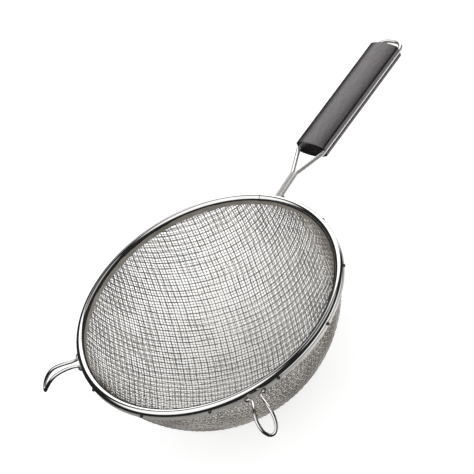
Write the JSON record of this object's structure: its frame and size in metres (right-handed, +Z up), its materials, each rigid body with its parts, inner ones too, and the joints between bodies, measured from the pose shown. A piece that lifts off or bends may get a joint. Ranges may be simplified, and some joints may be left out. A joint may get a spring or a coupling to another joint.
{
  "type": "double sieve strainer",
  "caption": "Hand-held strainer: layered woven-wire bowl in a rolled metal rim, wire neck, grooved flat grip with a hanging eye, and bent wire hooks that rest on a vessel.",
  "frame": {"origin": "centre of the rim hoop, level with the middle of its tube", "axes": "+X along the handle, +Z up out of the bowl, -Z down to the bottom of the bowl"},
  "size_m": [0.3729, 0.2074, 0.0914],
  "materials": {
    "bright_rim": "polished",
    "core_steel": "plain drawn wire",
    "band_steel": "dull rolled sheet",
    "fine_cloth": "woven wire",
    "coarse_cloth": "woven wire",
    "handle_steel": "satin wire",
    "hook_steel": "bright wire",
    "grip_black": "satin moulded black",
    "weld_steel": "weld metal"
  },
  "bodies": {
    "root": {"rim_hoop": "bright_rim", "rim_core_wire": "core_steel", "seam_weld": "weld_steel", "inner_band": "band_steel", "outer_band": "band_steel", "fine_mesh": "fine_cloth", "coarse_mesh": "coarse_cloth", "handle_wire": "handle_steel", "grip": "grip_black", "hook_left": "hook_steel", "hook_right": "hook_steel", "rim_tacks": "weld_steel", "handle_weld": "weld_steel", "hook_welds": "weld_steel"}
  },
  "joints": []
}
